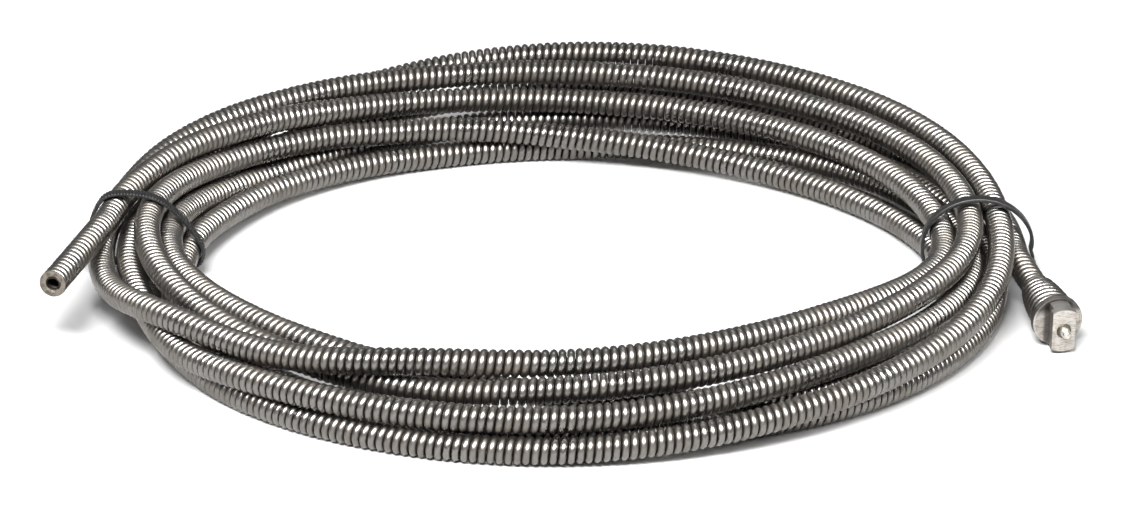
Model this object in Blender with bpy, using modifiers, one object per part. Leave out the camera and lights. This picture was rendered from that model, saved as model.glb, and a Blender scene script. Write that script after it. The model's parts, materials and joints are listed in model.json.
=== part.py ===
"""Coiled drain-cleaning cable: a hollow close-wound steel cable in six and a half turns,
two cable ties, and a T-slot coupling with a sprung lock plunger on the leading end.

Lengths below are millimetres. Angles around the coil count clockwise from above, from the -X side,
so 90 is at the back (+Y), 180 at the right (+X) and 270 at the front (-Y).
"""

import math

import bmesh
import bpy
import numpy as np
from mathutils import Matrix, Vector

MM = 0.001
OBJECT_NAME = "drain_cable"

# Cable section
CABLE_R = 4.75
BORE_R = 2.2
SPACING = 9.85  # least distance between the centre lines of two passes

# Coil path: one row per turn, a (radius, height) slot every 45 degrees from the left tie
STEPS_PER_TURN = 40
TURNS = 6.5
SLOTS = (
    ((159.5, 25.8), (148.0, 25.5), (150.0, 18.5), (140.0, 18.7),
     (134.5, 15.5), (121.8, 24.5), (134.3, 26.3), (150.5, 18.6)),
    ((160.8, 14.0), (158.5, 27.0), (155.0, 28.5), (152.8, 25.3),
     (142.8, 21.8), (131.5, 21.8), (142.8, 21.5), (141.0, 19.7)),
    ((145.2, 26.0), (148.3, 16.0), (128.3, 11.2), (130.5, 5.0),
     (135.3, 6.2), (139.0, 4.8), (131.0, 13.8), (130.8, 21.5)),
    ((137.5, 18.8), (146.0, 8.8), (153.8, 10.3), (153.5, 11.0),
     (151.0, 6.2), (151.3, 4.8), (142.5, 4.8), (136.0, 5.0)),
    ((133.0, 10.5), (135.0, 6.6), (135.9, 4.8), (143.5, 9.0),
     (144.0, 12.4), (139.2, 16.9), (153.7, 14.2), (155.6, 14.6)),
    ((151.2, 16.4), (162.0, 21.0), (165.0, 33.4), (165.0, 28.7),
     (152.4, 19.9), (156.0, 14.0), (157.2, 4.8), (153.8, 4.8)),
    ((143.5, 6.2), (157.0, 11.5), (165.5, 18.0), (163.5, 14.0), (158.4, 12.9)),
)
TIE_LIFT = 1.5  # the strap and its gap pass under the lowest cable
TIE_ANGLES = (4.8, 175.2)
LIFT_SPREAD = 26.0

# Puts the middle of the whole object's footprint at the origin
FRAME_SHIFT = Vector((0.05, -4.17, 0.0))

# Free ends
TAIL_HINGE = Vector((-161.0, -9.0, 26.4))
TAIL_END = Vector((-172.8, -59.5, 25.4))
LEAD_HINGE = Vector((160.0, -8.5, 12.7))
FLANGE_FACE = Vector((169.0, -52.8, 9.1))
SOCKET_R = 5.1  # hollow ball seat around the coil's rounded end
BALL_RINGS = (20.0, 40.0, 62.0)  # degrees from the ball's widest ring

# Coupling, measured along its axis from the front face of the flange
FLANGE_R = 8.8
FLANGE_T = 3.0
NECK_LENGTH = 4.5
NECK_WIDTH = 6.4
HEAD_T = 3.0
HEAD_WIDTH = 8.3
LUG_R = 7.9
BORE_PLUNGER_R = 2.45
BORE_DEPTH = 19.5
GAP = 0.3
WIRE = 2.55
# (distance behind the flange face, outer radius of the windings)
FLARE = ((43.2, 4.75), (30.0, 4.75), (26.0, 5.4), (22.0, 6.5), (16.0, 7.3), (10.0, 7.8), (3.3, 8.0))
SHANK_TIP = 28.0

# Lock plunger, spring and retaining ring
PLUNGER_R = 2.1
NOSE_R = 1.4
NOSE_TIP_R = 0.8
NOSE_OUT = 4.2
RING_T = 1.0
RING_OUTER_R = 2.3
RING_INNER_R = 1.75
PLUNGER_BODY = 8.0
SPRING_WIRE_R = 0.25
SPRING_TURNS = 6

# Cable ties
TIE_Y = 13.0
STRAP_T = 1.2
STRAP_W = 4.6
STRAP_MID = CABLE_R + GAP + STRAP_T / 2
TIE_HEAD = (5.6, 6.8, 3.6)  # along the strap, across it, and outwards
SLOT = (1.8, 5.2)
LOOSE_SPOT = (159.7, 13.5)  # where the right tie stands off the bundle
HEAD_DIRECTION = {"left": -149.0, "right": -40.0}  # outward normal at the head, degrees from +X

ROUND = 16


# ---------------------------------------------------------------- coil path

def slot_curve():
    """Slots joined by a smooth curve, one (radius, height) per step along the cable."""
    slots = np.array([slot for row in SLOTS for slot in row])
    count = int(TURNS * STEPS_PER_TURN) + 1
    at = np.arange(count) * 8.0 / STEPS_PER_TURN
    slope = np.gradient(slots, axis=0) * 0.8
    i = np.minimum(at.astype(int), len(slots) - 2)
    t = (at - i)[:, None]
    return (
        (2 * t**3 - 3 * t**2 + 1) * slots[i]
        + (t**3 - 2 * t**2 + t) * slope[i]
        + (3 * t**2 - 2 * t**3) * slots[i + 1]
        + (t**3 - t**2) * slope[i + 1]
    )


def floor_heights(count):
    """Lowest centre height at each step: the cable rests on the floor, and on the straps at the ties."""
    angle = np.arange(count) * 360.0 / STEPS_PER_TURN % 360.0
    lift = np.zeros(count)
    for tie in TIE_ANGLES:
        off = np.abs((angle - tie + 180.0) % 360.0 - 180.0)
        lift = np.maximum(lift, np.cos(np.clip(off / LIFT_SPREAD, 0, 1) * math.pi) * 0.6 + 0.6)
    return CABLE_R + TIE_LIFT * np.minimum(lift, 1.0)


def packed(path):
    """Pushes passes apart until none is nearer than SPACING, while each stays close to its slots."""
    home, floor = path.copy(), floor_heights(len(path))
    for _ in range(160):
        bent = path.copy()
        bent[1:-1] += 0.15 * (0.5 * (path[2:] + path[:-2]) - path[1:-1])
        path = bent + 0.06 * (home - bent)
        for _ in range(4):
            for turns in range(1, int(TURNS) + 1):
                step = turns * STEPS_PER_TURN
                apart = path[step:] - path[:-step]
                length = np.maximum(np.hypot(apart[:, 0], apart[:, 1]), 1e-6)
                push = np.clip(SPACING - length, 0, None) / 2 / length
                path[:-step] -= apart * push[:, None]
                path[step:] += apart * push[:, None]
            path[:, 1] = np.maximum(path[:, 1], floor)
    return path


def coil_points():
    """Centre line of the coiled part, from the tail side to the lead side."""
    path = packed(slot_curve())
    turn = np.radians(180.0 - np.arange(len(path)) * 360.0 / STEPS_PER_TURN)
    return [Vector((r * math.cos(a), r * math.sin(a), z)) for (r, z), a in zip(path, turn)]


def bridge(start, heading, end, arrival, count):
    """Points strictly between two ends of a smooth bend."""
    span = (end - start).length
    points = []
    for k in range(1, count + 1):
        t = k / (count + 1)
        points.append(
            (2 * t**3 - 3 * t**2 + 1) * start
            + (t**3 - 2 * t**2 + t) * span * heading
            + (3 * t**2 - 2 * t**3) * end
            + (t**3 - t**2) * span * arrival
        )
    return points


def tail_axis():
    return (TAIL_END - TAIL_HINGE).normalized()


def lead_axis():
    return (FLANGE_FACE - LEAD_HINGE).normalized()


def centre_line():
    """Whole centre line of the coil node, from the tail hinge to the lead hinge."""
    coil = coil_points()
    first = (coil[0] - coil[1]).normalized()
    last = (coil[-1] - coil[-2]).normalized()
    tail = bridge(coil[0], first, TAIL_HINGE, tail_axis(), 1)
    lead = bridge(coil[-1], last, LEAD_HINGE, lead_axis(), 1)
    return [TAIL_HINGE, *tail, *coil, *lead, LEAD_HINGE], coil


# ---------------------------------------------------------------- mesh helpers

def clear_scene():
    for item in list(bpy.data.objects):
        bpy.data.objects.remove(item, do_unlink=True)


def collection(name):
    made = bpy.data.collections.new(name)
    bpy.context.scene.collection.children.link(made)
    return made


def material(name, colour, metallic, roughness):
    made = bpy.data.materials.new(name)
    made.use_nodes = True
    shader = made.node_tree.nodes["Principled BSDF"]
    shader.inputs["Base Color"].default_value = (*colour, 1.0)
    shader.inputs["Metallic"].default_value = metallic
    shader.inputs["Roughness"].default_value = roughness
    return made


def add_object(name, mesh, where, place=None, look=None):
    made = bpy.data.objects.new(name, mesh)
    where.objects.link(made)
    if place is not None:
        made.matrix_world = place
    if look is not None:
        mesh.materials.append(material(name, *look))
    return made


def mesh_of(name, points, faces):
    """Closed mesh from points in mm, with its faces turned outwards."""
    mesh = bpy.data.meshes.new(name)
    mesh.from_pydata([tuple(c * MM for c in p) for p in points], [], faces)
    mesh.validate()
    shape = bmesh.new()
    shape.from_mesh(mesh)
    bmesh.ops.recalc_face_normals(shape, faces=shape.faces)
    shape.to_mesh(mesh)
    shape.free()
    return mesh


def turned(name, profile, where, place, look=None, closed=False):
    """Profile of (radius, height) pairs turned about local Z by a Screw modifier."""
    mesh = bpy.data.meshes.new(name)
    points = [(r * MM, 0.0, z * MM) for r, z in profile]
    edges = [(k, k + 1) for k in range(len(points) - 1)]
    if closed:
        edges.append((len(points) - 1, 0))
    mesh.from_pydata(points, edges, [])
    made = add_object(name, mesh, where, place, look)
    screw = made.modifiers.new("turn", "SCREW")
    screw.axis = "Z"
    screw.steps = ROUND
    screw.render_steps = ROUND
    screw.use_merge_vertices = True
    screw.merge_threshold = 0.00001
    screw.use_smooth_shade = False
    screw.use_normal_flip = True
    return made


def block(name, size, centre, where, place, bevel=0.0):
    shape = bmesh.new()
    bmesh.ops.create_cube(shape, size=1.0)
    for v in shape.verts:
        v.co = Vector(tuple((v.co[k] * size[k] + centre[k]) * MM for k in range(3)))
    mesh = bpy.data.meshes.new(name)
    shape.to_mesh(mesh)
    shape.free()
    made = add_object(name, mesh, where, place)
    if bevel:
        edge = made.modifiers.new("edge", "BEVEL")
        edge.width = bevel * MM
        edge.segments = 1
    return made


def combine(target, tool, operation):
    change = target.modifiers.new(operation.lower(), "BOOLEAN")
    change.operation = operation
    change.solver = "EXACT"
    change.object = tool
    tool.hide_render = True
    tool.display_type = "WIRE"


def placement(origin, axis):
    """Local Z along axis and local Y as near to up as it can be, with the origin given in mm."""
    z = axis.normalized()
    y = (Vector((0.0, 0.0, 1.0)) - z * z.z).normalized()
    x = y.cross(z)
    turn = Matrix((x, y, z)).transposed().to_4x4()
    return Matrix.Translation(origin * MM) @ turn


# ---------------------------------------------------------------- cable

def ring(centre, axis, radius, sides):
    up = (Vector((0.0, 0.0, 1.0)) - axis * axis.z).normalized()
    side = axis.cross(up)
    turns = [2 * math.pi * k / sides for k in range(sides)]
    return [centre + radius * (math.cos(a) * up + math.sin(a) * side) for a in turns]


def directions(points):
    ends = [points[0], *points, points[-1]]
    return [(ends[k + 2] - ends[k]).normalized() for k in range(len(points))]


def ball_rings(centre, outward, heading):
    """Rings of the rounded end, from its widest towards the bore."""
    made = []
    for degrees in BALL_RINGS:
        a = math.radians(degrees)
        at = centre + outward * CABLE_R * math.sin(a)
        made.append((at, heading, CABLE_R * math.cos(a)))
    return made


def cable_coil(where, look):
    """Hollow tube along the centre line with a rounded end at each hinge; also gives the coiled points."""
    line, coil = centre_line()
    sides = 8
    heading = directions(line)
    heading[0] = -tail_axis()
    heading[-1] = lead_axis()
    outer = [(p, h, CABLE_R) for p, h in zip(line, heading)]
    start = ball_rings(line[0], tail_axis(), heading[0])
    finish = ball_rings(line[-1], lead_axis(), heading[-1])
    outer = [*reversed(start), *outer, *finish]
    back = list(zip(reversed(line), reversed(heading)))
    inner = [(p, h, BORE_R) for p, h in [finish[-1][:2], *back, start[-1][:2]]]
    loops = [ring(*spec, sides) for spec in [*outer, *inner]]
    points = [p for loop in loops for p in loop]
    faces = []
    for k in range(len(loops)):
        a, b = k * sides, (k + 1) % len(loops) * sides
        for j in range(sides):
            n = (j + 1) % sides
            faces.append((a + j, a + n, b + n, b + j))
    made = add_object("cable_coil", mesh_of("cable_coil", points, faces), where, None, look)
    return made, coil


def socket_profile():
    """Ball seat from the outer rim to the bore, in (radius, height) about the hinge."""
    rim = math.asin(CABLE_R / SOCKET_R)
    throat = math.asin(BORE_R / SOCKET_R)
    return [
        (SOCKET_R * math.sin(a), SOCKET_R * math.cos(a))
        for a in (rim + (throat - rim) * k / 4 for k in range(5))
    ]


def cable_tail(where, look):
    length = (TAIL_END - TAIL_HINGE).length
    seat = socket_profile()
    profile = [*reversed(seat), (CABLE_R, length), (BORE_R, length)]
    return turned("cable_tail", profile, where, placement(TAIL_HINGE, tail_axis()), look, closed=True)


def cable_lead(where, look):
    length = (FLANGE_FACE - LEAD_HINGE).length
    seat = socket_profile()
    outer = [(r, length - back) for back, r in FLARE[1:]]
    inner = [(max(r - WIRE, BORE_R), length - back) for back, r in reversed(FLARE[1:])]
    profile = [*reversed(seat), *outer, *inner]
    return turned("cable_lead", profile, where, placement(LEAD_HINGE, lead_axis()), look, closed=True)


# ---------------------------------------------------------------- coupling

def coupling_body(where, tools, look):
    """Shank and flange turned as one, with the T-shaped lug joined on and the plunger bore cut."""
    place = placement(LEAD_HINGE, lead_axis())
    face = (FLANGE_FACE - LEAD_HINGE).length
    shank = [(max(r - WIRE - GAP, 1.5), face - back) for back, r in FLARE[2:-1]]
    root = FLANGE_T
    profile = [
        (0.0, face - SHANK_TIP),
        (1.5, face - SHANK_TIP),
        *shank,
        (8.0 - WIRE - GAP, face - root),
        (FLANGE_R - 0.3, face - root),
        (FLANGE_R, face - root + 0.3),
        (FLANGE_R, face - 0.4),
        (FLANGE_R - 0.4, face),
        (0.0, face),
    ]
    body = turned("coupling_body", profile, where, place, look)
    neck_middle = (0.0, 0.0, face + NECK_LENGTH / 2)
    neck = block("neck", (NECK_WIDTH, 20.0, NECK_LENGTH + 2.0), neck_middle, tools, place)
    head = block(
        "lug_head",
        (HEAD_WIDTH, 20.0, HEAD_T),
        (0, 0, face + NECK_LENGTH + HEAD_T / 2),
        tools,
        place,
        bevel=0.35,
    )
    rounder = turned(
        "lug_ends",
        [(0.0, face - 2.0), (LUG_R, face - 2.0), (LUG_R, face + 9.0), (0.0, face + 9.0)],
        tools,
        place,
    )
    combine(neck, head, "UNION")
    combine(neck, rounder, "INTERSECT")
    combine(body, neck, "UNION")
    top = face + NECK_LENGTH + HEAD_T
    bore = turned(
        "plunger_bore",
        [
            (0.0, face + NECK_LENGTH + HEAD_T - BORE_DEPTH),
            (BORE_PLUNGER_R, face + NECK_LENGTH + HEAD_T - BORE_DEPTH),
            (BORE_PLUNGER_R, top + 1.0),
            (0.0, top + 1.0),
        ],
        tools,
        place,
    )
    combine(body, bore, "DIFFERENCE")
    return body


def plunger_levels():
    """Distances from the lead hinge of the plunger's back, its shoulder and the lug's front face."""
    top = (FLANGE_FACE - LEAD_HINGE).length + NECK_LENGTH + HEAD_T
    shoulder = top - RING_T - GAP - 0.1
    return shoulder - PLUNGER_BODY, shoulder, top


def lock_plunger(where, look):
    back, shoulder, top = plunger_levels()
    profile = [
        (0.0, back),
        (PLUNGER_R - 0.2, back),
        (PLUNGER_R, back + 0.2),
        (PLUNGER_R, shoulder),
        (NOSE_R, shoulder),
        (NOSE_R, top + NOSE_OUT - 1.2),
        (NOSE_TIP_R + 0.3, top + NOSE_OUT - 0.4),
        (NOSE_TIP_R - 0.1, top + NOSE_OUT),
        (0.0, top + NOSE_OUT),
    ]
    return turned("lock_plunger", profile, where, placement(LEAD_HINGE, lead_axis()), look)


def plunger_retainer(where, look):
    top = plunger_levels()[2]
    profile = [
        (RING_INNER_R, top - RING_T - 0.1),
        (RING_OUTER_R, top - RING_T - 0.1),
        (RING_OUTER_R, top - 0.1),
        (RING_INNER_R, top - 0.1),
    ]
    return turned("plunger_retainer", profile, where, placement(LEAD_HINGE, lead_axis()), look, closed=True)


def plunger_spring(where, look):
    """Open coil spring, as a poly curve with round section, between the bore's floor and the plunger."""
    back, _, top = plunger_levels()
    low = top - BORE_DEPTH + GAP + SPRING_WIRE_R
    high = back - GAP - SPRING_WIRE_R
    radius = PLUNGER_R - 0.1 - SPRING_WIRE_R
    per_turn = 10
    count = SPRING_TURNS * per_turn
    curve = bpy.data.curves.new("plunger_spring", "CURVE")
    curve.dimensions = "3D"
    curve.bevel_depth = SPRING_WIRE_R * MM
    curve.bevel_resolution = 1
    curve.use_fill_caps = True
    line = curve.splines.new("POLY")
    line.points.add(count)
    for k in range(count + 1):
        a = 2 * math.pi * k / per_turn
        z = low + (high - low) * k / count
        line.points[k].co = (radius * math.cos(a) * MM, radius * math.sin(a) * MM, z * MM, 1.0)
    return add_object("plunger_spring", curve, where, placement(LEAD_HINGE, lead_axis()), look)


# ---------------------------------------------------------------- cable ties

def crossings(coil, side):
    """(x, z) of every pass where it goes through the plane of a tie."""
    found = []
    for a, b in zip(coil, coil[1:]):
        if (a.y - TIE_Y) * (b.y - TIE_Y) <= 0 and a.y != b.y and a.x * side > 0:
            t = (TIE_Y - a.y) / (b.y - a.y)
            found.append((a.x + (b.x - a.x) * t, a.z + (b.z - a.z) * t))
    return found


def hull(points):
    """Convex outline, anticlockwise."""
    points = sorted(points)

    def half(run):
        kept = []
        for p in run:
            while len(kept) > 1 and cross(kept[-2], kept[-1], p) <= 1e-9:
                kept.pop()
            kept.append(p)
        return kept[:-1]

    return half(points) + half(points[::-1])


def cross(o, a, b):
    return (a[0] - o[0]) * (b[1] - o[1]) - (a[1] - o[1]) * (b[0] - o[0])


def strap_outline(passes):
    circle = [(math.cos(k * math.pi / 12), math.sin(k * math.pi / 12)) for k in range(24)]
    return hull([(x + STRAP_MID * c, z + STRAP_MID * s) for x, z in passes for c, s in circle])


def head_frame(outline, degrees):
    """Middle of the longest straight side that faces the given way, its tangent and its outward normal."""
    facing = Vector((math.cos(math.radians(degrees)), math.sin(math.radians(degrees))))
    sides = []
    for k, start in enumerate(outline):
        end = outline[(k + 1) % len(outline)]
        t = Vector(end) - Vector(start)
        n = Vector((t.y, -t.x)).normalized()
        if n.dot(facing) > 0.8:
            sides.append((t.length, k, n))
    _, k, n = max(sides, key=lambda side: side[0])
    middle = (Vector(outline[k]) + Vector(outline[(k + 1) % len(outline)])) / 2
    return k, middle, Vector((-n.y, n.x)), n


def strap_line(outline, degrees):
    """Centre line of the strap: out of the head's side, round the bundle, and out through the slot."""
    best, q, t, n = head_frame(outline, degrees)
    around = [Vector(outline[(best + k) % len(outline)]) for k in range(1, len(outline))]
    far = [p for p in around if abs((p - q).dot(t)) > 5.8 or (p - q).dot(n) < -6.0]
    root = [q + 1.6 * t + 2.0 * n, q + 3.4 * t + 1.8 * n, q + 4.9 * t + 0.6 * n]
    bend = [(-2.2, 0.0), (-1.5, 0.0), (-0.9, 0.16), (-0.46, 0.6), (-0.3, 1.2), (-0.3, 6.4)]
    return [*root, *far, *[q + a * t + b * n for a, b in bend]]


def strap_mesh(line):
    """Rectangular band swept along a line in the XZ plane."""
    points, faces = [], []
    ends = [line[0] * 2 - line[1], *line, line[-1] * 2 - line[-2]]
    for k, p in enumerate(line):
        before = (ends[k + 1] - ends[k]).normalized()
        after = (ends[k + 2] - ends[k + 1]).normalized()
        along = (before + after).normalized()
        side = Vector((along.y, -along.x)) * (STRAP_T / 2 / max(along.dot(after), 0.5))
        for u, w in ((1, 1), (1, -1), (-1, -1), (-1, 1)):
            q = p + side * u
            points.append((q.x, TIE_Y + w * STRAP_W / 2, q.y))
    for k in range(len(line) - 1):
        for j in range(4):
            m = (j + 1) % 4
            faces.append((4 * k + j, 4 * k + m, 4 * k + 4 + m, 4 * k + 4 + j))
    last = 4 * len(line) - 4
    faces += [(3, 2, 1, 0), (last, last + 1, last + 2, last + 3)]
    return points, faces


def cable_tie(side, passes, where, tools, look):
    name = "tie_" + side
    outline = strap_outline(passes)
    degrees = HEAD_DIRECTION[side]
    _, q, t, n = head_frame(outline, degrees)
    points, faces = strap_mesh(strap_line(outline, degrees))
    tie = add_object(name, mesh_of(name, points, faces), where, None, look)
    turn = Matrix(((t.x, 0.0, n.x), (0.0, 1.0, 0.0), (t.y, 0.0, n.y))).to_4x4()
    place = Matrix.Translation(Vector((q.x, TIE_Y, q.y)) * MM) @ turn
    head = block(name + "_head", TIE_HEAD, (0.0, 0.0, 0.9 + TIE_HEAD[2] / 2), tools, place, bevel=0.4)
    slot = block(name + "_slot", (SLOT[0], SLOT[1], 9.0), (-0.3, 0.0, 3.0), tools, place)
    combine(head, slot, "DIFFERENCE")
    combine(tie, head, "UNION")
    return tie


# ---------------------------------------------------------------- object

def main():
    clear_scene()
    parts = collection(OBJECT_NAME)
    tools = collection("cutters")
    steel = ((0.33, 0.31, 0.29), 1.0, 0.34)
    _, coil = cable_coil(parts, steel)
    cable_tail(parts, steel)
    cable_lead(parts, steel)
    coupling_body(parts, tools, ((0.60, 0.57, 0.52), 1.0, 0.38))
    lock_plunger(parts, ((0.72, 0.70, 0.66), 1.0, 0.25))
    plunger_retainer(parts, ((0.42, 0.41, 0.39), 1.0, 0.40))
    plunger_spring(parts, ((0.45, 0.45, 0.45), 1.0, 0.30))
    nylon = ((0.020, 0.020, 0.022), 0.0, 0.45)
    cable_tie("left", crossings(coil, -1), parts, tools, nylon)
    cable_tie("right", [*crossings(coil, 1), LOOSE_SPOT], parts, tools, nylon)
    for item in (*parts.objects, *tools.objects):
        item.matrix_world = Matrix.Translation(FRAME_SHIFT * MM) @ item.matrix_world


main()
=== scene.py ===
"""Looks of the coiled drain cable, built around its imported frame.

The cable is one long left-handed spring of round wire. Its centre line is read from the frame's tube, and
the wire is wound around it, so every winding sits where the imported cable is. Lengths are millimetres, and
only the mesh vertices, object places and lights are in metres.
"""

import json
import math

import bmesh
import bpy
import numpy as np
from mathutils import Matrix, Vector

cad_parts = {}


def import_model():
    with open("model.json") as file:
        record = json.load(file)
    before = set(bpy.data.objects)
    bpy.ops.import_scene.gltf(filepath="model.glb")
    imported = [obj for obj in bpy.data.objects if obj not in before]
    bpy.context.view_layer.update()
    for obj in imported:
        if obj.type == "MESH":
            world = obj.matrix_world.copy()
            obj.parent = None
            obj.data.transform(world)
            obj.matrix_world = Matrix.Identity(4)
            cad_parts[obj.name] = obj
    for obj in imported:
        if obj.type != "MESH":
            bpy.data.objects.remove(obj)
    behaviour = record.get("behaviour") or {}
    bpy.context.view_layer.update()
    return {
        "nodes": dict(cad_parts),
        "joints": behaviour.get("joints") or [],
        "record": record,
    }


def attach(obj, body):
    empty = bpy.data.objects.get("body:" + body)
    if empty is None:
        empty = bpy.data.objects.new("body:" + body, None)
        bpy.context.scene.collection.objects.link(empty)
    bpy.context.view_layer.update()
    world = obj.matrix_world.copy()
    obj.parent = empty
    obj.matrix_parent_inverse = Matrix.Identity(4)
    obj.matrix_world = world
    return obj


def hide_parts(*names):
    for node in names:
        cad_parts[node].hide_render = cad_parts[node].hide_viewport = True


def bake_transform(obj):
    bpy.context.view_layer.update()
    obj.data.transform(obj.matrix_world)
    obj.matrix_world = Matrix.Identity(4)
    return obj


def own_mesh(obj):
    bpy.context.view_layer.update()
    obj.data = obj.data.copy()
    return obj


MM = 0.001

# Cable section and winding
CABLE_R = 4.75
WIRE_R = 1.36
PITCH = 2.85
STEPS_PER_WINDING = 24
WIRE_SIDES = 10
WINDINGS_PER_RUN = 165
INSET = 0.03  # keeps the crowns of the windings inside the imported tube
BEND_HALF = 12.0  # the cable bends within this distance of a hinge
AXIS_REACH = 30.0  # a free end's axis runs from its hinge to here

# Waves along the windings, each (size, rate, phase): how they crowd and spread, and stand in or out
DRIFT = ((0.012, 0.61, 1.0), (0.010, 0.173, 0.0))
WOBBLE = ((0.02, 1.7, 0.0), (0.02, 0.43, 2.0))

# Cut end: (radius, depth, sideways shift) around the ground face and into its hole
END_SIDES = 64
END_FACE = (
    (4.55, 0.9, 0.0), (4.68, 0.3, 0.0), (4.6, 0.06, 0.0), (4.45, -0.03, 0.0),
    (2.75, -0.03, 0.25), (2.6, 0.06, 0.25), (2.5, 0.9, 0.25),
)

# Coupling: (radius, height) pairs and sizes, with height zero on the flange's front face
FLARE = ((43.2, 4.75), (30.0, 4.75), (26.0, 5.4), (22.0, 6.5), (16.0, 7.3), (10.0, 7.8), (3.3, 8.0))
FLANGE_T = 3.0
SHANK_GAP = 0.3
BODY_PROFILE = (
    (0.0, -28.0), (1.2, -28.0), (1.5, -27.7), (2.55, -26.0), (3.65, -22.0), (4.45, -16.0), (4.95, -10.0),
    (5.15, -3.4), (5.15, -3.0), (8.45, -3.0), (8.7, -2.9), (8.8, -2.65), (8.8, -0.5), (8.7, -0.2),
    (8.45, -0.05), (8.05, 0.0), (7.85, -0.02), (7.72, -0.16), (0.0, -0.18),
)
LUG_TOP = 7.5
NECK = (6.4, 20.0, 5.7)
HEAD = (8.3, 20.0, 3.0)
LUG_ROUND = ((0.0, -1.5), (7.9, -1.5), (7.9, 7.15), (7.75, 7.4), (7.45, 7.53), (0.0, 7.53))
BORE_PROFILE = ((0.0, -12.0), (2.45, -12.0), (2.45, 7.22), (2.8, 7.58), (2.8, 9.0), (0.0, 9.0))
RING_PROFILE = (
    (1.75, 6.5), (1.85, 6.4), (2.38, 6.4), (2.4, 6.5), (2.4, 7.25), (2.3, 7.38), (1.9, 7.4), (1.75, 7.28),
)
PLUNGER_BACK = -1.9
PLUNGER_PROFILE = (
    (0.0, -1.9), (1.85, -1.9), (2.1, -1.65), (2.1, 5.9), (1.95, 6.1), (1.68, 6.1), (1.68, 9.6), (1.6, 9.8),
    (1.38, 9.9), (1.38, 10.8), (1.3, 11.2), (1.05, 11.5), (0.72, 11.66), (0.42, 11.7), (0.3, 11.6),
    (0.0, 11.56),
)
SPRING_LOW = -11.45
SPRING_R = 1.75
SPRING_WIRE_R = 0.25
SPRING_TURNS = 6.0
SPRING_STEPS = 20  # per turn

# Cable ties
TIE_Y = 13.0
STRAP_T = 1.2
STRAP_W = 4.6
STRAP_GAP = 0.3
STIFFNESS = {"left": 9.0, "right": 22.0}  # degrees of bend over which a strap rounds a corner off
TIE_HEAD = (5.6, 6.8, 3.5)  # along the strap, across it, and outwards
TIE_SLOT = (1.8, 5.0)
CLEARED = 97  # percent of its directions in which a rounded-off strap clears the bundle
LOOSE_SPOT = (159.75, 13.5)  # where the right tie stands off the bundle
HEAD_DIRECTION = {"left": -149.0, "right": -40.0}  # outward normal at the head, degrees from +X
FLOOR_GAP = 0.02  # between a bundle's outline and the floor
STRAP_FLOOR = STRAP_T / 2 + 0.1  # least height of the strap's middle
TOOTH_PITCH = 1.1
TOOTH_DEPTH = 0.28
ROOT_STEPS, EXIT_STEPS = 24, 8  # quarter teeth that are left out where the strap leaves and enters the head

# The strap at its head, as (along the strap, outwards): its root, its way out through the slot, and how far
# its loop is cut back on either side
STRAP_ROOT = ((1.2, 1.9), (2.6, 1.9), (3.9, 1.3))
STRAP_EXIT = ((-1.7, 0.05), (-0.8, 0.35), (-0.35, 1.3), (-0.3, 3.0), (-0.3, 5.3))
CUT_AFTER, CUT_BEFORE, CUT_BELOW = 5.6, 3.2, 6.0
HEAD_LIFT = 0.9  # underside of the head above the strap's middle
SLOT_SHIFT = -0.3
PAWL = ((0.75, 3.1), (0.42, 2.6), (0.52, 2.4), (0.36, 2.1), (0.46, 1.9), (0.32, 1.6), (0.75, 0.8))
PAWL_HALF = 2.0

ORIGIN = Vector((0.05, -4.17, 0.0))  # the ties' own measures start here: the middle of the coil, on the floor

# Camera: it aims at one point, which lies below the picture's middle by a share of the picture's width
AIM = ORIGIN + Vector((0.0, 0.0, CABLE_R))
CAMERA_DISTANCE = 1.83  # metres
CAMERA_TILT = 21.0  # degrees down
CAMERA_LENS = 166.88
CAMERA_SHIFT = 0.0155556

# Softboxes: name, azimuth, elevation, distance, size, power, and whether only sheen shows it
LIGHTS = (
    ("key", -12.0, 46.0, 2.2, (0.9, 0.5), 78.0, False),
    ("strip", -2.0, 50.0, 2.0, (2.8, 0.55), 200.0, True),
    ("fill", 40.0, 38.0, 2.4, (0.5, 0.8), 14.0, False),
    ("back", 178.0, 68.0, 2.2, (1.6, 0.5), 8.0, False),
)
WORLD_STRENGTH = 0.27
FLOOR_HALF = 6.0  # metres


# ---------------------------------------------------------------- frame

def joint_of(frame, name):
    return next(joint for joint in frame["joints"] if joint["name"] == name)


def mount_of(frame, name):
    return next(mount for mount in frame["record"]["mounts"] if mount["name"] == name)


def mm(vector):
    return Vector(vector) / MM


def welded(node):
    shape = bmesh.new()
    shape.from_mesh(node.data)
    bmesh.ops.remove_doubles(shape, verts=shape.verts, dist=1e-6)
    return shape


def tube_middles(node, start, finish):
    """Middles of the outer rings of the frame's tube, in order between its two rounded ends."""
    shape = welded(node)
    reach = CABLE_R + 0.1
    seen = {v for v in shape.verts if (mm(v.co) - start).length < reach}
    ring = seen
    middles = []
    while True:
        beyond = {e.other_vert(v) for v in ring for e in v.link_edges} - seen
        ring = {v for v in beyond if (mm(v.co) - start).length > reach}
        middle = Vector(np.mean([mm(v.co) for v in ring], axis=0))
        if (middle - finish).length < 1.0:
            break
        seen |= ring
        middles.append(middle)
    shape.free()
    return middles


def far_end(node, start):
    """Middle of the corners of a node that are farthest from a point."""
    corners = [mm(v.co) for v in node.data.vertices]
    reach = max((c - start).length for c in corners) - 0.01
    ends = {tuple(round(x, 3) for x in c) for c in corners if (c - start).length > reach}
    return sum((Vector(c) for c in ends), Vector()) / len(ends)


# ---------------------------------------------------------------- centre line

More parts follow.
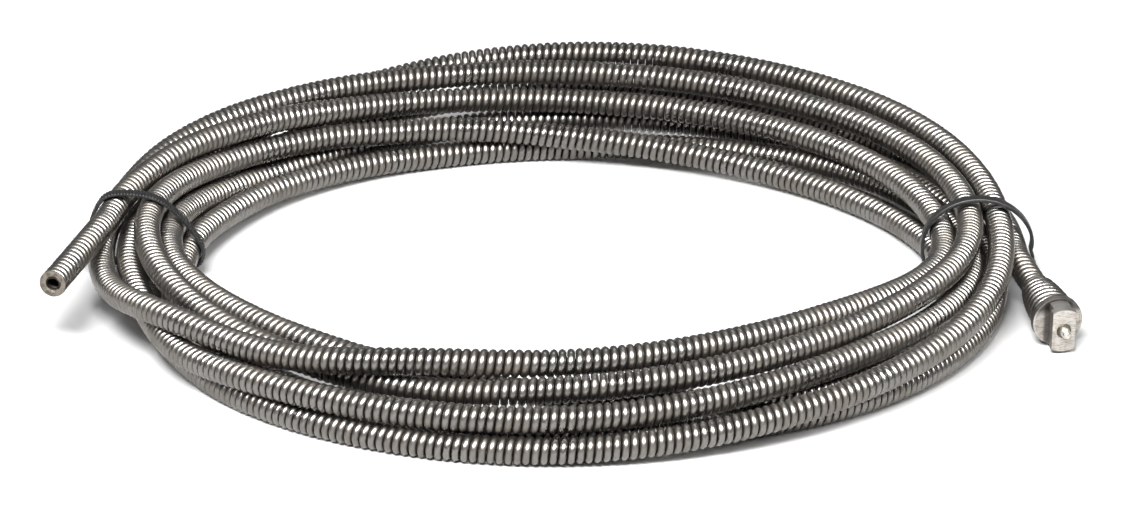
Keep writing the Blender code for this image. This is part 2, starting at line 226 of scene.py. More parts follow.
class Line:
    """Smooth curve through points, measured by its length from the first one."""

    FINE = 0.5  # spacing of the samples that its length is measured by

    def __init__(self, points):
        self.points = np.array([tuple(p) for p in points])
        self.knots = running_length(self.points)
        self.curl = self.second_derivatives()
        fine = np.arange(0.0, self.knots[-1], self.FINE)
        self.fine = np.append(fine, self.knots[-1])
        self.lengths = running_length(self.at_parameter(self.fine))
        self.length = self.lengths[-1]

    def second_derivatives(self):
        """Of the natural cubic spline through the points."""
        h = np.diff(self.knots)
        count = len(self.points)
        system = np.eye(count)
        wanted = np.zeros((count, 3))
        slope = np.diff(self.points, axis=0) / h[:, None]
        for k in range(1, count - 1):
            system[k, k - 1 : k + 2] = (h[k - 1], 2 * (h[k - 1] + h[k]), h[k])
            wanted[k] = 6 * (slope[k] - slope[k - 1])
        return np.linalg.solve(system, wanted)

    def at_parameter(self, t):
        k = np.clip(np.searchsorted(self.knots, t, side="right") - 1, 0, len(self.knots) - 2)
        h = (self.knots[k + 1] - self.knots[k])[:, None]
        a = (self.knots[k + 1] - t)[:, None] / h
        b = 1 - a
        bow = ((a**3 - a) * self.curl[k] + (b**3 - b) * self.curl[k + 1]) * h**2 / 6
        return a * self.points[k] + b * self.points[k + 1] + bow

    def at(self, distance):
        """Points at distances along the curve; past its ends it runs on straight."""
        distance = np.atleast_1d(distance).astype(float)
        inside = np.clip(distance, 0.0, self.length)
        points = self.at_parameter(np.interp(inside, self.lengths, self.fine))
        first = unit(self.points[1] - self.points[0])
        last = unit(self.points[-1] - self.points[-2])
        over = distance - inside
        before, after = np.minimum(over, 0.0)[:, None], np.maximum(over, 0.0)[:, None]
        return points + before * first + after * last

    def nearest(self, point):
        """Distance along the curve of the sample nearest to a point."""
        samples = self.at_parameter(self.fine)
        return self.lengths[np.argmin(np.linalg.norm(samples - np.array(tuple(point)), axis=1))]


def unit(vectors):
    vectors = np.asarray(vectors, float)
    return vectors / np.linalg.norm(vectors, axis=-1, keepdims=True)


def running_length(points):
    """Length from the first point to each of the points, along straight steps."""
    steps = np.linalg.norm(np.diff(points, axis=0), axis=1)
    return np.concatenate(([0.0], np.cumsum(steps)))


def straight(start, end, spacing=10.0):
    """Points from start towards end, without the end itself."""
    count = max(2, round((end - start).length / spacing))
    return [start.lerp(end, k / count) for k in range(count)]


# ---------------------------------------------------------------- materials

def new_material(name):
    made = bpy.data.materials.new(name)
    made.use_nodes = True
    nodes = made.node_tree.nodes
    nodes.clear()
    output = nodes.new("ShaderNodeOutputMaterial")
    shader = nodes.new("ShaderNodeBsdfPrincipled")
    made.node_tree.links.new(shader.outputs["BSDF"], output.inputs["Surface"])
    return made, shader


class Graph:
    """Short names for adding linked nodes to a material."""

    def __init__(self, made):
        self.tree = made.node_tree

    def node(self, kind, inputs=None, **settings):
        made = self.tree.nodes.new(kind)
        for key, value in settings.items():
            setattr(made, key, value)
        for key, value in (inputs or {}).items():
            self.put(made.inputs[key], value)
        return made

    def put(self, socket, value):
        if isinstance(value, bpy.types.NodeSocket):
            self.tree.links.new(value, socket)
        else:
            socket.default_value = value

    def noise(self, vector, scale, detail=3.0, rough=0.5):
        inputs = {"Vector": vector, "Scale": scale, "Detail": detail, "Roughness": rough}
        return self.node("ShaderNodeTexNoise", inputs).outputs["Fac"]

    def stretch(self, vector, factors):
        node = self.node("ShaderNodeVectorMath", {0: vector, 1: factors}, operation="MULTIPLY")
        return node.outputs["Vector"]

    def band(self, value, low, high, out_low=0.0, out_high=1.0):
        inputs = {"Value": value, "From Min": low, "From Max": high, "To Min": out_low, "To Max": out_high}
        return self.node("ShaderNodeMapRange", inputs, interpolation_type="SMOOTHSTEP").outputs["Result"]

    def math(self, operation, a, b):
        return self.node("ShaderNodeMath", {0: a, 1: b}, operation=operation).outputs["Value"]

    def mix(self, factor, a, b):
        node = self.node("ShaderNodeMix", {0: factor}, data_type="RGBA")
        for socket, colour in zip((s for s in node.inputs if s.type == "RGBA"), (a, b)):
            self.put(socket, colour)
        return next(s for s in node.outputs if s.type == "RGBA")

    def bump(self, height, strength, distance):
        inputs = {"Height": height, "Strength": strength, "Distance": distance * MM}
        return self.node("ShaderNodeBump", inputs).outputs["Normal"]

    def place(self):
        return self.node("ShaderNodeTexCoord").outputs["Object"]

    def attribute(self, name, output):
        return self.node("ShaderNodeAttribute", attribute_name=name).outputs[output]


def wire_steel(name):
    """Oiled spring wire: drawn lines along it, bright on the crown, grime and painted shade down in the
    grooves.
    """
    clean_crown, filmed_crown = (0.212, 0.203, 0.192, 1), (0.1696, 0.15631, 0.14016, 1)
    drawn_line, groove_grime_and_shade = (0.15, 0.142, 0.133, 1), (0.032, 0.027, 0.023, 1)
    made, shader = new_material(name)
    g = Graph(made)
    crown = g.attribute("crown", "Fac")
    grain = g.attribute("grain", "Vector")
    place = g.place()
    film = g.noise(place, 60.0, 4.0, 0.6)
    smudge = g.noise(place, 420.0, 3.0, 0.6)
    lines = g.noise(g.stretch(grain, (0.10, 9.0, 9.0)), 1.0, 3.0, 0.6)
    edge = g.math("ADD", crown, g.band(smudge, 0.3, 0.7, -0.14, 0.14))
    # Crown to groove: the grooves are painted near black, grime and painted shade where the windings meet.
    clean_and_unshaded = g.band(edge, 0.02, 0.78)
    warm = g.mix(g.band(film, 0.4, 0.62), clean_crown, filmed_crown)
    steel = g.mix(g.band(lines, 0.35, 0.65, 0.0, 0.35), warm, drawn_line)
    g.put(shader.inputs["Base Color"], g.mix(clean_and_unshaded, groove_grime_and_shade, steel))
    shader.inputs["Metallic"].default_value = 1.0
    rough = g.math("ADD", g.band(clean_and_unshaded, 0.0, 1.0, 0.58, 0.30), g.band(film, 0.3, 0.7, -0.05, 0.09))
    g.put(shader.inputs["Roughness"], rough)
    g.put(shader.inputs["Normal"], g.bump(lines, 0.08, 0.05))
    return made


def coupling_steel(name):
    """Milled steel: pale scratched faces, brown stains, painted shade on the lug's sides, beside the lug and
    in its bore, a painted reflection darkening the flange face's top, and a darker turned rim.
    """
    made, shader = new_material(name)
    g = Graph(made)
    place = g.attribute("local", "Vector")
    axes = g.node("ShaderNodeSeparateXYZ", {"Vector": place}).outputs
    flat = g.stretch(place, (1.0, 1.0, 0.0))
    radius = g.node("ShaderNodeVectorMath", {0: flat}, operation="LENGTH").outputs["Value"]
    across = g.math("ABSOLUTE", axes["X"], 0.0)
    stain = g.noise(place, 0.42, 5.0, 0.65)
    grit = g.noise(place, 2.4, 4.0, 0.7)
    streak = g.noise(g.stretch(place, (0.35, 2.4, 1.6)), 1.0, 4.0, 0.7)
    groove = g.node("ShaderNodeCombineXYZ", {"X": g.math("MULTIPLY", radius, 5.0), "Z": axes["Z"]}).outputs[0]
    rings = g.noise(groove, 1.0, 2.0, 0.6)
    colour = g.mix(g.band(stain, 0.42, 0.64), (0.47, 0.45, 0.42, 1), (0.35, 0.315, 0.27, 1))
    colour = g.mix(g.band(streak, 0.46, 0.62, 0.0, 0.85), colour, (0.22, 0.20, 0.175, 1))
    colour = g.mix(g.band(grit, 0.60, 0.70, 0.0, 0.7), colour, (0.16, 0.13, 0.11, 1))
    behind = g.band(axes["Z"], 0.2, 0.05)
    # Painted reflection: the upper sector of the flange's front face is painted near black, standing in for a
    # dark reflection.
    top = g.math("MULTIPLY", behind, g.band(axes["Y"], 2.2, 5.2))
    colour = g.mix(g.math("MULTIPLY", top, 0.9), colour, (0.070, 0.066, 0.062, 1))
    # Painted shadow: a near-black band on the flange face on both sides of the lug, where its shadow falls.
    painted_shadow_beside_lug = g.math("MULTIPLY", behind, g.band(across, 5.6, 4.2))
    colour = g.mix(g.math("MULTIPLY", painted_shadow_beside_lug, 0.85), colour, (0.045, 0.038, 0.034, 1))
    rim = g.math("MULTIPLY", behind, g.band(radius, 8.60, 8.76))
    rim_colour = g.mix(g.band(rings, 0.4, 0.6), (0.17, 0.165, 0.16, 1), (0.10, 0.096, 0.092, 1))
    colour = g.mix(rim, colour, rim_colour)
    turned = g.math("MULTIPLY", g.band(radius, 7.60, 7.72), g.band(axes["Z"], 0.1, 0.3))
    colour = g.mix(g.math("MULTIPLY", turned, 0.9), colour, rim_colour)
    # Painted shade: the side walls of the lug's head and neck are painted near black.
    neck_side = g.math("MULTIPLY", g.band(across, 3.1, 3.18), g.band(axes["Z"], 4.6, 4.45))
    ahead = g.math("MULTIPLY", neck_side, g.band(axes["Z"], 0.0, 0.1))
    side = g.math("MAXIMUM", g.band(across, 4.02, 4.13), ahead)
    side = g.math("MULTIPLY", side, g.band(axes["Z"], 0.0, 0.1))
    colour = g.mix(g.math("MULTIPLY", side, 0.88), colour, (0.060, 0.052, 0.046, 1))
    # Painted shade: the bore and its chamfer are painted near black.
    hole = g.band(radius, 2.62, 2.5)
    colour = g.mix(g.math("MULTIPLY", hole, 0.8), colour, (0.05, 0.045, 0.03, 1))
    g.put(shader.inputs["Base Color"], colour)
    g.put(shader.inputs["Metallic"], g.math("MAXIMUM", 0.45, g.math("MAXIMUM", top, rim)))
    level = g.math("ADD", g.band(stain, 0.35, 0.7, 0.42, 0.58), g.band(grit, 0.3, 0.7, -0.06, 0.08))
    g.put(shader.inputs["Roughness"], level)
    height = g.math("ADD", g.math("MULTIPLY", streak, 0.6), g.math("MULTIPLY", rings, 0.4))
    g.put(shader.inputs["Normal"], g.bump(height, 0.5, 0.12))
    return made


def turned_steel(name, colour, dark, rough):
    """Small turned or wound part: fine rings around it, with darker smudges."""
    made, shader = new_material(name)
    g = Graph(made)
    place = g.attribute("local", "Vector")
    smudge = g.noise(place, 0.8, 4.0, 0.65)
    rings = g.noise(g.stretch(place, (0.4, 0.4, 9.0)), 1.0, 3.0, 0.6)
    colour = g.mix(g.band(smudge, 0.42, 0.66), colour, dark)
    g.put(shader.inputs["Base Color"], colour)
    shader.inputs["Metallic"].default_value = 0.9
    g.put(shader.inputs["Roughness"], g.band(smudge, 0.3, 0.7, rough - 0.06, rough + 0.12))
    g.put(shader.inputs["Normal"], g.bump(rings, 0.3, 0.06))
    return made


def nylon(name):
    """Black moulded nylon with a faint orange-peel surface, dust and rubbed spots."""
    made, shader = new_material(name)
    g = Graph(made)
    place = g.place()
    peel = g.noise(place, 2600.0, 2.0, 0.5)
    dust = g.noise(place, 240.0, 5.0, 0.65)
    colour = g.mix(g.band(dust, 0.45, 0.75), (0.012, 0.012, 0.013, 1), (0.034, 0.033, 0.032, 1))
    g.put(shader.inputs["Base Color"], colour)
    shader.inputs["Specular IOR Level"].default_value = 0.3
    g.put(shader.inputs["Roughness"], g.band(dust, 0.3, 0.7, 0.34, 0.52))
    g.put(shader.inputs["Normal"], g.bump(peel, 0.25, 0.05))
    return made


# ---------------------------------------------------------------- mesh helpers

def add_object(name, mesh, look, place=None):
    made = bpy.data.objects.new(name, mesh)
    bpy.context.scene.collection.objects.link(made)
    if place is not None:
        made.matrix_world = place
    mesh.materials.append(look)
    return made


def stands_for(piece, body, node):
    """The piece rides a body, and takes the place of a CAD node, which is hidden."""
    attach(piece, body)
    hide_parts(node)


def swept_grid(rows, columns, closed_rows=False):
    """Quads of a tube made of rows rings of columns points."""
    ring = np.arange(columns)
    over = (ring + 1) % columns
    starts = np.arange(rows if closed_rows else rows - 1)[:, None] * columns
    ends = (np.arange(1, rows + 1 if closed_rows else rows) % rows)[:, None] * columns
    return np.stack((starts + ring, starts + over, ends + over, ends + ring), axis=-1).reshape(-1, 4)


def capped_grid(rows, columns):
    """Faces of a tube of rows rings of columns points, closed flat at both ends."""
    last = (rows - 1) * columns
    sides = swept_grid(rows, columns).tolist()
    return [*sides, list(range(columns))[::-1], [last + k for k in range(columns)]]


def ring_directions(sides, first, second):
    """Directions around each point of a line, turning from one of its cross directions to the other."""
    turn = 2 * math.pi * np.arange(sides) / sides
    return np.cos(turn)[None, :, None] * first[:, None] + np.sin(turn)[None, :, None] * second[:, None]


def shade_from(mesh, normals):
    """Smooth faces take the given vertex normals, and flat ones their own."""
    loops = np.zeros(len(mesh.loops), int)
    mesh.loops.foreach_get("vertex_index", loops)
    shading = normals[loops]
    for polygon in mesh.polygons:
        if not polygon.use_smooth:
            shading[list(polygon.loop_indices)] = polygon.normal
    mesh.normals_split_custom_set(shading.tolist())


def mesh_of(name, points, faces):
    """Mesh from points in mm."""
    mesh = bpy.data.meshes.new(name)
    mesh.from_pydata((np.asarray(points, float) * MM).tolist(), [], faces)
    return mesh


def lathe(name, profile, steps, closed=False):
    """Mesh of (radius, height) pairs turned about local Z; a point on the axis becomes a pole."""
    points, rings, faces = [], [], []
    for r, z in profile:
        count = steps if r > 1e-6 else 1
        rings.append([len(points) + k for k in range(count)])
        turns = [2 * math.pi * k / steps for k in range(count)]
        points += [(r * math.cos(a), r * math.sin(a), z) for a in turns]
    pairs = list(zip(rings, rings[1:])) + ([(rings[-1], rings[0])] if closed else [])
    for low, high in pairs:
        for j in range(steps):
            n = (j + 1) % steps
            corners = (low[j % len(low)], low[n % len(low)], high[n % len(high)], high[j % len(high)])
            faces.append(list(dict.fromkeys(corners)))
    return mesh_of(name, points, faces)


def swept(name, line, radius, sides):
    """Round bar along a line of points in mm, closed flat at both ends."""
    line = np.asarray(line, float)
    along = unit(np.gradient(line, axis=0))
    across = unit(np.cross(along, np.roll(along, 1, axis=0) + (0.01, 0.02, 0.0)))
    for k in range(1, len(line)):
        across[k] = across[k - 1] - along[k] * np.dot(across[k - 1], along[k])
    across = unit(across)
    ring = ring_directions(sides, across, np.cross(along, across))
    points = (line[:, None] + radius * ring).reshape(-1, 3)
    return mesh_of(name, points, capped_grid(len(line), sides))


def block(name, size, middle, bevel=0.0):
    shape = bmesh.new()
    bmesh.ops.create_cube(shape, size=1.0)
    for v in shape.verts:
        v.co = Vector([(v.co[k] * size[k] + middle[k]) * MM for k in range(3)])
    if bevel:
        edges = shape.edges[:]
        bmesh.ops.bevel(shape, geom=edges, offset=bevel * MM, segments=3, profile=0.5, affect="EDGES")
    mesh = bpy.data.meshes.new(name)
    shape.to_mesh(mesh)
    shape.free()
    return mesh


def carved(name, start, steps):
    """Mesh after joining, meeting or cutting the start with each (operation, tool mesh) in turn."""
    for operation, tool in steps:
        body = bpy.data.objects.new("carved", start)
        other = bpy.data.objects.new("tool", tool)
        for item in (body, other):
            bpy.context.scene.collection.objects.link(item)
        change = body.modifiers.new("change", "BOOLEAN")
        change.operation, change.solver, change.object = operation, "EXACT", other
        bpy.context.view_layer.update()
        start = bpy.data.meshes.new_from_object(body.evaluated_get(bpy.context.evaluated_depsgraph_get()))
        for item in (body, other):
            bpy.data.objects.remove(item, do_unlink=True)
    start.name = name
    return start


def finished(mesh, crease=33.0):
    """Smooth shading with creases where faces meet sharply, and each corner's own place in mm."""
    shape = bmesh.new()
    shape.from_mesh(mesh)
    bmesh.ops.remove_doubles(shape, verts=shape.verts, dist=1e-7)
    bmesh.ops.recalc_face_normals(shape, faces=shape.faces)
    for face in shape.faces:
        face.smooth = True
    for edge in shape.edges:
        edge.smooth = edge.calc_face_angle(math.pi) < math.radians(crease)
    shape.to_mesh(mesh)
    shape.free()
    places = np.zeros(len(mesh.vertices) * 3)
    mesh.vertices.foreach_get("co", places)
    layer = mesh.attributes.new("local", "FLOAT_VECTOR", "POINT")
    layer.data.foreach_set("vector", (places / MM).astype(np.float32))
    return mesh


# ---------------------------------------------------------------- windings

def waves(turns, parts):
    """Sum of slow waves, each (size, rate, phase), at places counted in turns."""
    return sum(size * np.sin(turns * rate + phase) for size, rate, phase in parts)


class Winding:
    """The whole wire: ring points, normals and shading values, one ring per step along the cable."""

    def __init__(self, line, first, last):
        step = PITCH / STEPS_PER_WINDING
        self.first = first
        count = int(math.ceil((last - first) / step)) + 1
        self.distance = first + np.arange(count) * step
        middle = line.at(self.distance)
        along = unit(np.gradient(middle, axis=0))
        up = unit(np.array((0.0, 0.0, 1.0)) - along * along[:, 2:3])
        side = np.cross(along, up)
        turns = self.distance / PITCH
        angle = -2 * math.pi * (turns + waves(turns, DRIFT))
        outward = np.cos(angle)[:, None] * up + np.sin(angle)[:, None] * side
        behind = line.length - self.distance
        outer = np.interp(behind, [b for b, _ in FLARE][::-1], [r for _, r in FLARE][::-1])
        wire = middle + (outer - WIRE_R - INSET + waves(turns, WOBBLE))[:, None] * outward
        ahead = unit(np.gradient(wire, axis=0))
        out = unit(outward - ahead * np.sum(outward * ahead, axis=1, keepdims=True))
        across = np.cross(ahead, out)
        self.normals = ring_directions(WIRE_SIDES, out, across)
        self.points = wire[:, None] + WIRE_R * self.normals
        turn = 2 * math.pi * np.arange(WIRE_SIDES) / WIRE_SIDES
        self.crown = np.broadcast_to(np.cos(turn), self.points.shape[:2])
        sines = np.broadcast_to(np.sin(turn), self.points.shape[:2])
        lengths = np.broadcast_to(running_length(wire)[:, None], self.points.shape[:2])
        self.grain = np.stack((lengths, self.crown, sines), axis=-1)

    def ring_at(self, distance):
        """Nearest whole step to a distance along the cable."""
        return int(round((distance - self.first) / (PITCH / STEPS_PER_WINDING)))

    def piece(self, name, low, high, look, cut=None):
        """Object of the rings from low to high, closed at both ends; a plane, if given, cuts it flat."""
        part = slice(low, high + 1)
        faces = capped_grid(high + 1 - low, WIRE_SIDES)
        mesh = mesh_of(name, self.points[part].reshape(-1, 3), faces)
        smooth = np.ones(len(mesh.polygons), bool)
        smooth[-2:] = False
        mesh.polygons.foreach_set("use_smooth", smooth)
        for key, kind, values in (
            ("crown", "FLOAT", self.crown[part].ravel()),
            ("grain", "FLOAT_VECTOR", self.grain[part].ravel()),
            ("facing", "FLOAT_VECTOR", self.normals[part].ravel()),
        ):
            layer = mesh.attributes.new(key, kind, "POINT")
            layer.data.foreach_set("value" if kind == "FLOAT" else "vector", values.astype(np.float32))
        if cut is not None:
            cut_flat(mesh, *cut)
        normals = np.zeros(len(mesh.vertices) * 3)
        mesh.attributes["facing"].data.foreach_get("vector", normals)
        mesh.attributes.remove(mesh.attributes["facing"])
        shade_from(mesh, normals.reshape(-1, 3))
        return add_object(name, mesh, look)


def cut_flat(mesh, where, beyond):
    """Removes what lies beyond a plane and closes the cut with flat faces."""
    shape = bmesh.new()
    shape.from_mesh(mesh)
    everything = [*shape.verts, *shape.edges, *shape.faces]
    made = bmesh.ops.bisect_plane(
        shape, geom=everything, dist=1e-7, plane_co=where * MM, plane_no=beyond, clear_outer=True
    )
    rim = [item for item in made["geom_cut"] if isinstance(item, bmesh.types.BMEdge)]
    filled = bmesh.ops.holes_fill(shape, edges=[e for e in rim if e.is_valid and e.is_boundary], sides=0)
    for face in filled["faces"]:
        face.smooth = False
    bmesh.ops.recalc_face_normals(shape, faces=shape.faces)
    shape.to_mesh(mesh)
    shape.free()


def wind_cable(line, tail_hinge, lead_hinge):
    """All the windings, split where the cable bends and into runs of the coil."""
    look = wire_steel("spring_wire")
    last = line.length - FLANGE_T - SHANK_GAP
    winding = Winding(line, -PITCH, last + PITCH)
    at_tail = line.nearest(tail_hinge)
    at_lead = line.nearest(lead_hinge)
    marks = [at_tail - BEND_HALF, at_tail + BEND_HALF, at_lead - BEND_HALF, at_lead + BEND_HALF]
    tail_bend, coil_start, coil_end, lead_bend = (winding.ring_at(mark) for mark in marks)
    axis_tail = Vector(unit(line.at(at_tail - AXIS_REACH)[0] - line.at(at_tail)[0]))
    axis_lead = Vector(unit(line.at(at_lead + AXIS_REACH)[0] - line.at(at_lead)[0]))

    end_cut = (Vector(line.at(0.0)[0]), axis_tail)
    tail = winding.piece("tail_windings", 0, tail_bend, look, cut=end_cut)
    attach(tail, "tail")
    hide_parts("cable_tail")
    bend = winding.piece("tail_bend_windings", tail_bend, coil_start, look)
    start, end = (Vector(line.at(mark)[0]) * MM for mark in (at_tail + BEND_HALF, at_tail - BEND_HALF))
    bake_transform(bend)

    rings = WINDINGS_PER_RUN * STEPS_PER_WINDING
    runs = max(1, round((coil_end - coil_start) / rings))
    edges = [round(coil_start + (coil_end - coil_start) * k / runs) for k in range(runs + 1)]
    for k in range(runs):
        run = winding.piece(f"coil_windings_{k + 1:02d}", edges[k], edges[k + 1], look)
        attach(run, "coil")
        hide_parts("cable_coil")

    bend = winding.piece("lead_bend_windings", coil_end, lead_bend, look)
    start, end = (Vector(line.at(mark)[0]) * MM for mark in (at_lead - BEND_HALF, at_lead + BEND_HALF))
    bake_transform(bend)
    flange_cut = (Vector(line.at(last)[0]), axis_lead)
    lead = winding.piece("lead_windings", lead_bend, len(winding.distance) - 1, look, cut=flange_cut)
    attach(lead, "lead")
    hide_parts("cable_lead")


# ---------------------------------------------------------------- cut end

def end_face(line):
    """Ground face that closes the first winding into a ring, with its hole a little off centre."""
    tip = line.at(0.0)[0]
    out = unit(tip - line.at(4.0)[0])
    up = unit(np.array((0.0, 0.0, 1.0)) - out * out[2])
    side = np.cross(up, out)
    points = []
    for radius, depth, shift in END_FACE:
        for k in range(END_SIDES):
            a = 2 * math.pi * k / END_SIDES
            burr = 0.05 * math.sin(3 * a + 1.0) + 0.04 * math.sin(7 * a) if shift else 0.0
            r = radius + burr
            across, above = r * math.cos(a) + shift, r * math.sin(a) + shift * 0.6
            points.append(tip - out * depth + side * across + up * above)
    faces = swept_grid(len(END_FACE), END_SIDES, closed_rows=True).tolist()
    look = turned_steel("cut_steel", (0.20, 0.178, 0.152, 1), (0.085, 0.075, 0.06, 1), 0.5)
    face = add_object("cut_end_face", finished(mesh_of("end_face", points, faces)), look)
    stands_for(face, "tail", "cable_tail")


# ---------------------------------------------------------------- coupling

def make_coupling(flange_face, axis):
    """Coupling body, plunger, retaining ring and spring, in a frame with Z along the lead and Y upwards."""
    y = (Vector((0.0, 0.0, 1.0)) - axis * axis.z).normalized()
    turn = Matrix((y.cross(axis), y, axis)).transposed().to_4x4()
    place = Matrix.Translation(flange_face * MM) @ turn
    neck = block("neck", NECK, (0.0, 0.0, NECK[2] / 2 - 1.0))
    head = block("head", HEAD, (0.0, 0.0, LUG_TOP - HEAD[2] / 2), bevel=0.35)
    lug = carved("lug", neck, [("UNION", head), ("INTERSECT", lathe("round", LUG_ROUND, 128))])
    start = lathe("body", BODY_PROFILE, 128)
    shape = carved("coupling", start, [("UNION", lug), ("DIFFERENCE", lathe("bore", BORE_PROFILE, 64))])
    body = add_object("coupling_with_lug", finished(shape), coupling_steel("coupling_steel"), place)
    stands_for(body, "lead", "coupling_body")

    bright = turned_steel("plunger_steel", (0.62, 0.60, 0.55, 1), (0.40, 0.37, 0.31, 1), 0.30)
    plunger = add_object("plunger", finished(lathe("plunger", PLUNGER_PROFILE, 48), 50.0), bright, place)
    stands_for(plunger, "plunger", "lock_plunger")

    dull = turned_steel("retainer_steel", (0.13, 0.12, 0.10, 1), (0.05, 0.045, 0.04, 1), 0.45)
    ring = lathe("retainer", RING_PROFILE, 48, closed=True)
    retainer = add_object("retaining_ring", finished(ring), dull, place)
    stands_for(retainer, "lead", "plunger_retainer")

    high = PLUNGER_BACK - SHANK_GAP - SPRING_WIRE_R
    turns = np.arange(int(SPRING_TURNS * SPRING_STEPS) + 1) / SPRING_STEPS
    share = turns / SPRING_TURNS
    share = share - 0.05 * np.sin(2 * math.pi * share)  # the end coils close up
    angle = 2 * math.pi * turns
    rise = SPRING_LOW + (high - SPRING_LOW) * share
    helix = np.stack((SPRING_R * np.cos(angle), SPRING_R * np.sin(angle), rise), axis=-1)
    wire = finished(swept("spring", helix, SPRING_WIRE_R, 10), 60.0)
    steel = turned_steel("music_wire", (0.50, 0.49, 0.47, 1), (0.26, 0.25, 0.23, 1), 0.30)
    spring = add_object("compression_spring", wire, steel, place)
    stands_for(spring, "lead", "plunger_spring")
    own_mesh(spring)


# ---------------------------------------------------------------- cable ties

def crossings(line, side, plane):
    """(x, z) of every pass of the cable through a tie's plane, on one side of the coil."""
    samples = line.at(np.arange(0.0, line.length, 1.0))
    found = []
    for a, b in zip(samples, samples[1:]):
        if (a[1] - plane) * (b[1] - plane) <= 0 and a[1] != b[1] and a[0] * side > 0:
            middle = a + (b - a) * (plane - a[1]) / (b[1] - a[1])
            found.append((middle[0], middle[2]))
    return np.array(found)


class Loop:
    """Smooth closed curve in the XZ plane around a bundle, as the outline of a stiff strap's middle."""

    STEP = 1.0

    def __init__(self, passes, stiffness):
        degrees = np.arange(0.0, 360.0, self.STEP)
        turn = np.radians(degrees)
        middle = (passes.max(axis=0) + passes.min(axis=0)) / 2
        facing = np.stack((np.cos(turn), np.sin(turn)), axis=-1)
        tight = ((passes - middle) @ facing.T).max(axis=0) + CABLE_R + STRAP_GAP + STRAP_T / 2
        offsets = (degrees + 180.0) % 360.0 - 180.0
        weight = np.exp(-0.5 * (offsets / stiffness) ** 2)
        weight /= weight.sum()
        round_off = np.real(np.fft.ifft(np.fft.fft(tight) * np.fft.fft(weight)))
        reach = round_off + max(0.0, np.percentile(tight - round_off, CLEARED))
        slope = (np.roll(reach, -1) - np.roll(reach, 1)) / (2 * math.radians(self.STEP))
        normal = np.stack((-np.sin(turn), np.cos(turn)), axis=-1)
        self.points = middle + reach[:, None] * facing + slope[:, None] * normal
        self.points[:, 1] = np.maximum(self.points[:, 1], STRAP_T / 2 + FLOOR_GAP)

    def index(self, degrees):
        return int(round(degrees / self.STEP)) % len(self.points)


def strap_line(loop, degrees):
    """Middle of the strap: out of the head's side, once round, then out through the head's slot."""
    n = np.array((math.cos(math.radians(degrees)), math.sin(math.radians(degrees))))
    t = np.array((-n[1], n[0]))
    k = loop.index(degrees)
    q = loop.points[k]
    around = np.roll(loop.points, -k, axis=0)
    side, level = (around - q) @ t, (around - q) @ n
    leaving = np.arange(len(around)) < len(around) // 2
    near = (level > -CUT_BELOW) & np.where(leaving, side < CUT_AFTER, side > -CUT_BEFORE)
    root = [q + a * t + b * n for a, b in STRAP_ROOT]
    exit_way = [q + a * t + b * n for a, b in STRAP_EXIT]
    points = [*root, *around[~near][::4], *exit_way]
    return Line([(x, TIE_Y, max(z, STRAP_FLOOR)) for x, z in points]), q, t, n


def strap_mesh(name, line, toothed):
    """Band with rounded edges; a toothed one has cross ribs on its outer face."""
    half, thick = STRAP_W / 2, STRAP_T / 2
    step = TOOTH_PITCH / 4
    count = int(line.length / step)
    middle = line.at(np.arange(count + 1) * step)
    along = unit(np.gradient(middle, axis=0))
    out = np.stack((along[:, 2], np.zeros(len(along)), -along[:, 0]), axis=-1)
    rows = []
    for k in range(count + 1):
        at_head = k < ROOT_STEPS or k > count - EXIT_STEPS
        between_teeth = toothed and (at_head or k % 4 not in (1, 2))
        top = thick - (TOOTH_DEPTH if between_teeth else 0.0)
        edge = 0.62 * thick
        section = (
            (-half, -edge), (-half + 0.22, -thick), (half - 0.22, -thick), (half, -edge), (half, edge),
            (half - 0.18, top), (half - 0.5, top + 0.02), (0.0, top + (0.03 if toothed else 0.08)),
            (-half + 0.5, top + 0.02), (-half + 0.18, top), (-half, edge),
        )
        rows.append([middle[k] + np.array((0.0, w, 0.0)) + u * out[k] for w, u in section])
    return mesh_of(name, np.array(rows).reshape(-1, 3), capped_grid(len(rows), len(rows[0])))


def rounded_rectangle(half_x, half_y, radius, per_corner=4):
    corners = ((1, 1, 0), (-1, 1, 90), (-1, -1, 180), (1, -1, 270))
    points = []
    for sx, sy, first in corners:
        for k in range(per_corner):
            a = math.radians(first + 90.0 * k / (per_corner - 1))
            x, y = sx * (half_x - radius), sy * (half_y - radius)
            points.append((x + radius * math.cos(a), y + radius * math.sin(a)))
    return points


def head_mesh(name, q, t, n):
    """Tie head: a rounded block with a slot through it and a toothed pawl leaning into the slot."""
    length, width, height = TIE_HEAD
    outside = (
        (0.45, 0.0), (0.12, 0.12), (0.0, 0.45), (0.0, height - 0.5), (0.14, height - 0.14), (0.5, height),
    )
    inside = ((0.22, height), (0.0, height - 0.25), (0.0, 0.3), (0.2, 0.0))
    levels = []
    for inset, z in outside:
        levels.append([(*p, z) for p in rounded_rectangle(length / 2 - inset, width / 2 - inset, 0.7)])
    for spread, z in inside:
        ring = rounded_rectangle(TIE_SLOT[0] / 2 + spread, TIE_SLOT[1] / 2 + spread, 0.25)
        levels.append([(x + SLOT_SHIFT, y, z) for x, y in ring])
    points = [p for level in levels for p in level]
    faces = swept_grid(len(levels), len(levels[0]), closed_rows=True).tolist()
    faces += [[len(points) + k for k in face] for face in capped_grid(2, len(PAWL))]
    points += [(x, y, z) for y in (-PAWL_HALF, PAWL_HALF) for x, z in PAWL]
    placed = []
    for x, y, z in points:
        at = q + x * t + (HEAD_LIFT + z) * n
        placed.append((at[0], TIE_Y + y, at[1]))
    return mesh_of(name, placed, faces)


